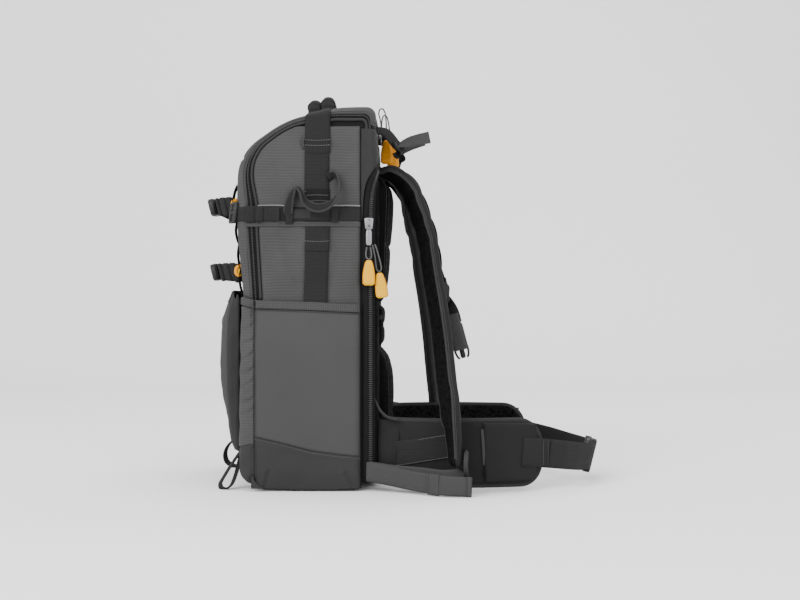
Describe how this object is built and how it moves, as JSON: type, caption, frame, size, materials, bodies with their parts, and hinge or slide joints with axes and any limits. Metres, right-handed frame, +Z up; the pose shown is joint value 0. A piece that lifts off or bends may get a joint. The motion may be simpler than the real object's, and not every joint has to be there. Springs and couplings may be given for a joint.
{
  "type": "camera backpack",
  "caption": "Tall padded camera backpack with clamshell lid, side and front pockets, zipped back door, padded shoulder straps and closed hip belt.",
  "frame": {"origin": "middle of the bag's flat bottom, on the floor it stands on", "axes": "+X from the bag towards the wearer, +Y towards the wearer's left side, +Z up"},
  "size_m": [0.5262, 0.387, 0.5199],
  "materials": {
    "ripstop_cloth": "grey ripstop nylon, fine crossways ribs",
    "pocket_cloth": "smooth grey stretch cloth",
    "mesh_cloth": "black air mesh over foam",
    "strap_cloth": "dark grey woven nylon over foam",
    "dark_webbing": "dark grey woven nylon webbing",
    "pale_webbing": "grey woven nylon webbing",
    "black_plastic": "moulded acetal, satin",
    "zip_tape": "black coil zip on woven tape",
    "yellow_pull": "moulded soft plastic",
    "orange_pull": "moulded soft plastic",
    "bright_metal": "plated zinc casting",
    "pull_cord": "grey braided cord, 2 mm"
  },
  "bodies": {
    "root": {"body_shell": "ripstop_cloth", "lid": "ripstop_cloth", "lid_zip": "zip_tape", "back_panel": "mesh_cloth", "back_zip": "zip_tape", "side_pocket_right": "pocket_cloth", "side_pocket_left": "pocket_cloth", "front_pocket": "pocket_cloth", "side_band_right": "dark_webbing", "side_band_left": "dark_webbing", "side_webbing_right": "dark_webbing", "side_webbing_left": "dark_webbing", "over_strap": "dark_webbing", "top_grip_front": "dark_webbing", "top_grip_rear": "dark_webbing", "side_loop_right": "dark_webbing", "side_loop_left": "dark_webbing", "side_strap_right": "dark_webbing", "side_strap_left": "dark_webbing", "side_buckle_right": "black_plastic", "side_buckle_left": "black_plastic", "front_daisy_right": "dark_webbing", "front_daisy_left": "dark_webbing", "front_strap_upper": "dark_webbing", "front_strap_lower": "dark_webbing", "front_buckle_upper": "black_plastic", "front_buckle_lower": "black_plastic", "tripod_loop_right": "dark_webbing", "tripod_loop_left": "dark_webbing", "back_pad_upper": "mesh_cloth", "back_pad_middle": "mesh_cloth", "lumbar_pad": "mesh_cloth", "shoulder_strap_right": "strap_cloth", "shoulder_strap_left": "strap_cloth", "load_lifter_right": "pale_webbing", "load_lifter_left": "pale_webbing", "chest_strap_right": "dark_webbing", "chest_strap_left": "dark_webbing", "chest_buckle_right": "black_plastic", "chest_buckle_left": "black_plastic", "ladder_lock_right": "black_plastic", "ladder_lock_left": "black_plastic", "lower_webbing_right": "pale_webbing", "lower_webbing_left": "pale_webbing", "hip_wing_right": "strap_cloth", "hip_wing_left": "strap_cloth", "belt_webbing_right": "dark_webbing", "belt_webbing_left": "dark_webbing", "belt_buckle": "black_plastic", "back_slider": "bright_metal", "lid_slider": "bright_metal", "back_cord_a": "pull_cord", "back_cord_b": "pull_cord", "lid_cord_a": "pull_cord", "lid_cord_b": "pull_cord", "back_pull_a": "yellow_pull", "back_pull_b": "yellow_pull", "lid_pull_a": "orange_pull", "lid_pull_b": "orange_pull"}
  },
  "joints": []
}
